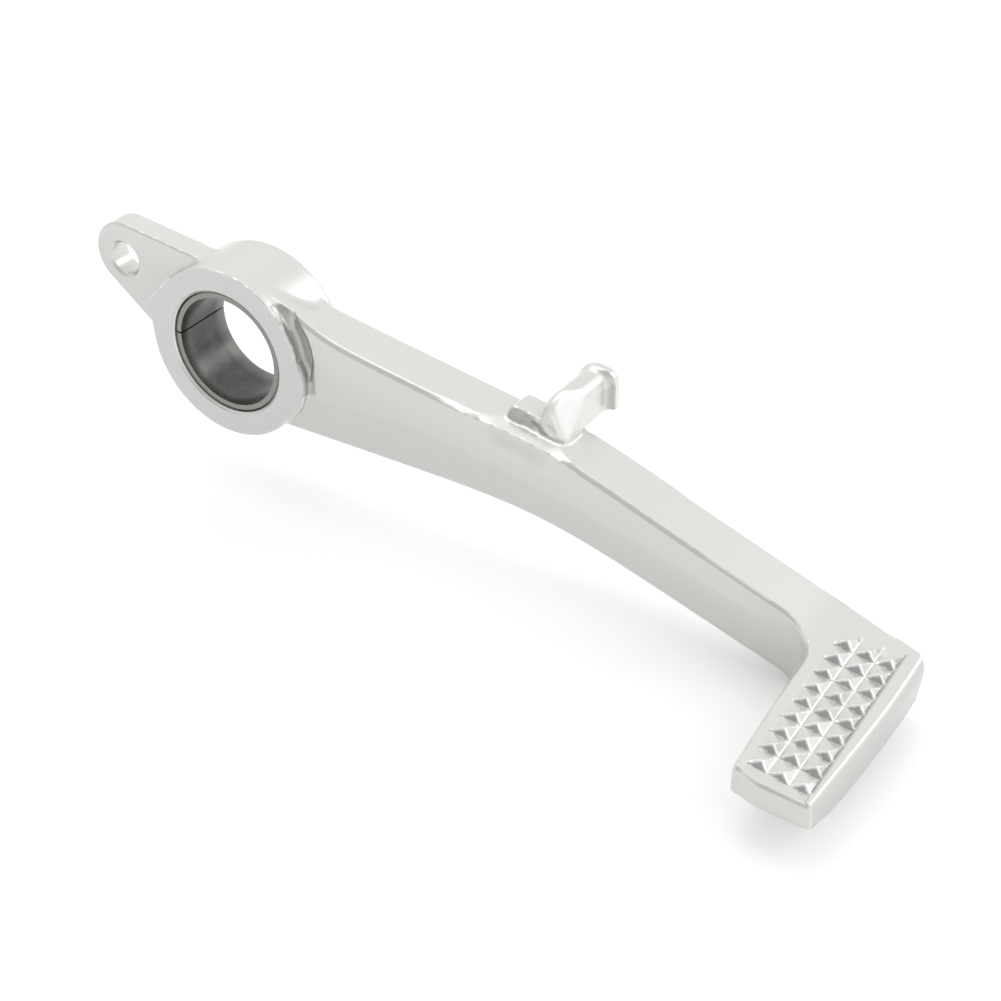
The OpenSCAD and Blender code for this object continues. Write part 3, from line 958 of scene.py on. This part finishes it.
def makeAlloy(a):
    mat, tree, shader = newMaterial("forgedAlloy")
    grain = placeGroup(tree, castGrain, a["grain"])
    colour = mixColour(tree, math2(tree, "MULTIPLY", grain.outputs["Mask"], 0.25), a["base"], a["dark"])
    for mask, tone, strength in a["layers"]:
        factor = attribute(tree, mask)
        if strength < 1:
            factor = math2(tree, "MULTIPLY", factor, strength)
        colour = mixColour(tree, factor, colour, a[tone])
    tree.links.new(colour, shader.inputs["Base Color"])
    finishMetal(tree, shader, grain, a)
    return mat


lining = {
    "base": (0.035, 0.035, 0.035, 1),
    "light": (0.15, 0.15, 0.147, 1),
    # painted highlight on the bush's end lips
    "rim": (0.26, 0.255, 0.24, 1),
    "metallic": 0.9,
    "roughness": 0.16,
    "roughSpread": 0.2,
    "bump": 0.15,
    "grain": {"Scale": 1.6, "Depth": 0.6},
}


def makeLining(a):
    mat, tree, shader = newMaterial("bushLining")
    grain = placeGroup(tree, castGrain, a["grain"])
    colour = mixColour(tree, grain.outputs["Mask"], a["base"], a["light"])
    tree.links.new(mixColour(tree, attribute(tree, "rim"), colour, a["rim"]), shader.inputs["Base Color"])
    finishMetal(tree, shader, grain, a)
    return mat


pedalForging.data.materials.append(makeAlloy(alloy))
pivotBush.data.materials.append(makeLining(lining))
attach(pedalForging, "root")
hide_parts("brake_pedal")
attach(pivotBush, "root")
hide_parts("pivot_bush")
print("materials made")

studio = {
    "middle": (0.05, 0, 0),          # metres, as the floor's size and the soft boxes are
    "floor": -31.6,
    "floorSize": 4.0,
    "floorColour": (0.98, 0.98, 0.98, 1),
    "floorGlow": 0.1,
    "level": 0.96,
    # direction, inner and outer angle, brightness there
    "parts": [
        ((0.0, -0.8, 0.6), 18, 48, 0.66),
        ((-0.43, 0.2, 0.88), 10, 26, 1.6),
        ((0.52, 0.70, 0.48), 9, 20, 1.8),
        ((0.68, -0.04, 0.74), 8, 20, 1.7),
    ],
    # name, direction, distance, size, power
    "boxes": [
        ("rightBack", (0.55, 0.68, 0.45), 0.8, (0.3, 0.3), 0.2),
        ("overhead", (-0.1, 0.1, 1.0), 1.0, (0.5, 0.5), 0.5),
    ],
}


def makeFloor(s):
    half = s["floorSize"] / 2
    data = bpy.data.meshes.new("studioFloor")
    corners = [(-half, -half, 0), (half, -half, 0), (half, half, 0), (-half, half, 0)]
    data.from_pydata(corners, [], [(0, 1, 2, 3)])
    obj = bpy.data.objects.new("studioFloor", data)
    obj.location = (*s["middle"][:2], s["floor"] * mm)
    bpy.context.scene.collection.objects.link(obj)
    mat, tree, shader = newMaterial("studioFloor")
    shader.inputs["Base Color"].default_value = s["floorColour"]
    shader.inputs["Roughness"].default_value = 0.9
    shader.inputs["Specular IOR Level"].default_value = 0.0
    shader.inputs["Emission Color"].default_value = (1, 1, 1, 1)
    shader.inputs["Emission Strength"].default_value = s["floorGlow"]
    data.materials.append(mat)


def makeSky(s):
    world = bpy.data.worlds.new("studioSky")
    bpy.context.scene.world = world
    world.use_nodes = True
    tree = world.node_tree
    place = tree.nodes.new("ShaderNodeTexCoord")
    total = s["level"]
    for direction, inner, outer, bright in s["parts"]:
        toward = addNode(tree, "ShaderNodeVectorMath", operation="DOT_PRODUCT")
        tree.links.new(place.outputs["Generated"], toward.inputs[0])
        toward.inputs[1].default_value = Vector(direction).normalized()
        part = addNode(tree, "ShaderNodeMapRange", interpolation_type="SMOOTHSTEP")
        part.inputs["From Min"].default_value = math.cos(math.radians(outer))
        part.inputs["From Max"].default_value = math.cos(math.radians(inner))
        part.inputs["To Max"].default_value = bright - s["level"]
        tree.links.new(toward.outputs["Value"], part.inputs["Value"])
        total = math2(tree, "ADD", part.outputs[0], total)
    tree.links.new(total, tree.nodes["Background"].inputs["Strength"])
    tree.nodes["Background"].inputs["Color"].default_value = (1, 1, 1, 1)


def makeSoftbox(name, direction, distance, size, power):
    data = bpy.data.lights.new(name, "AREA")
    data.shape = "RECTANGLE"
    data.size, data.size_y = size
    data.energy = power
    obj = bpy.data.objects.new(name, data)
    way = Vector(direction).normalized()
    obj.location = Vector(studio["middle"]) + way * distance
    obj.rotation_euler = way.to_track_quat("Z", "Y").to_euler()
    bpy.context.scene.collection.objects.link(obj)


makeFloor(studio)
makeSky(studio)
for box in studio["boxes"]:
    makeSoftbox(*box)
bpy.context.scene.view_settings.view_transform = "Standard"
print("studio made")
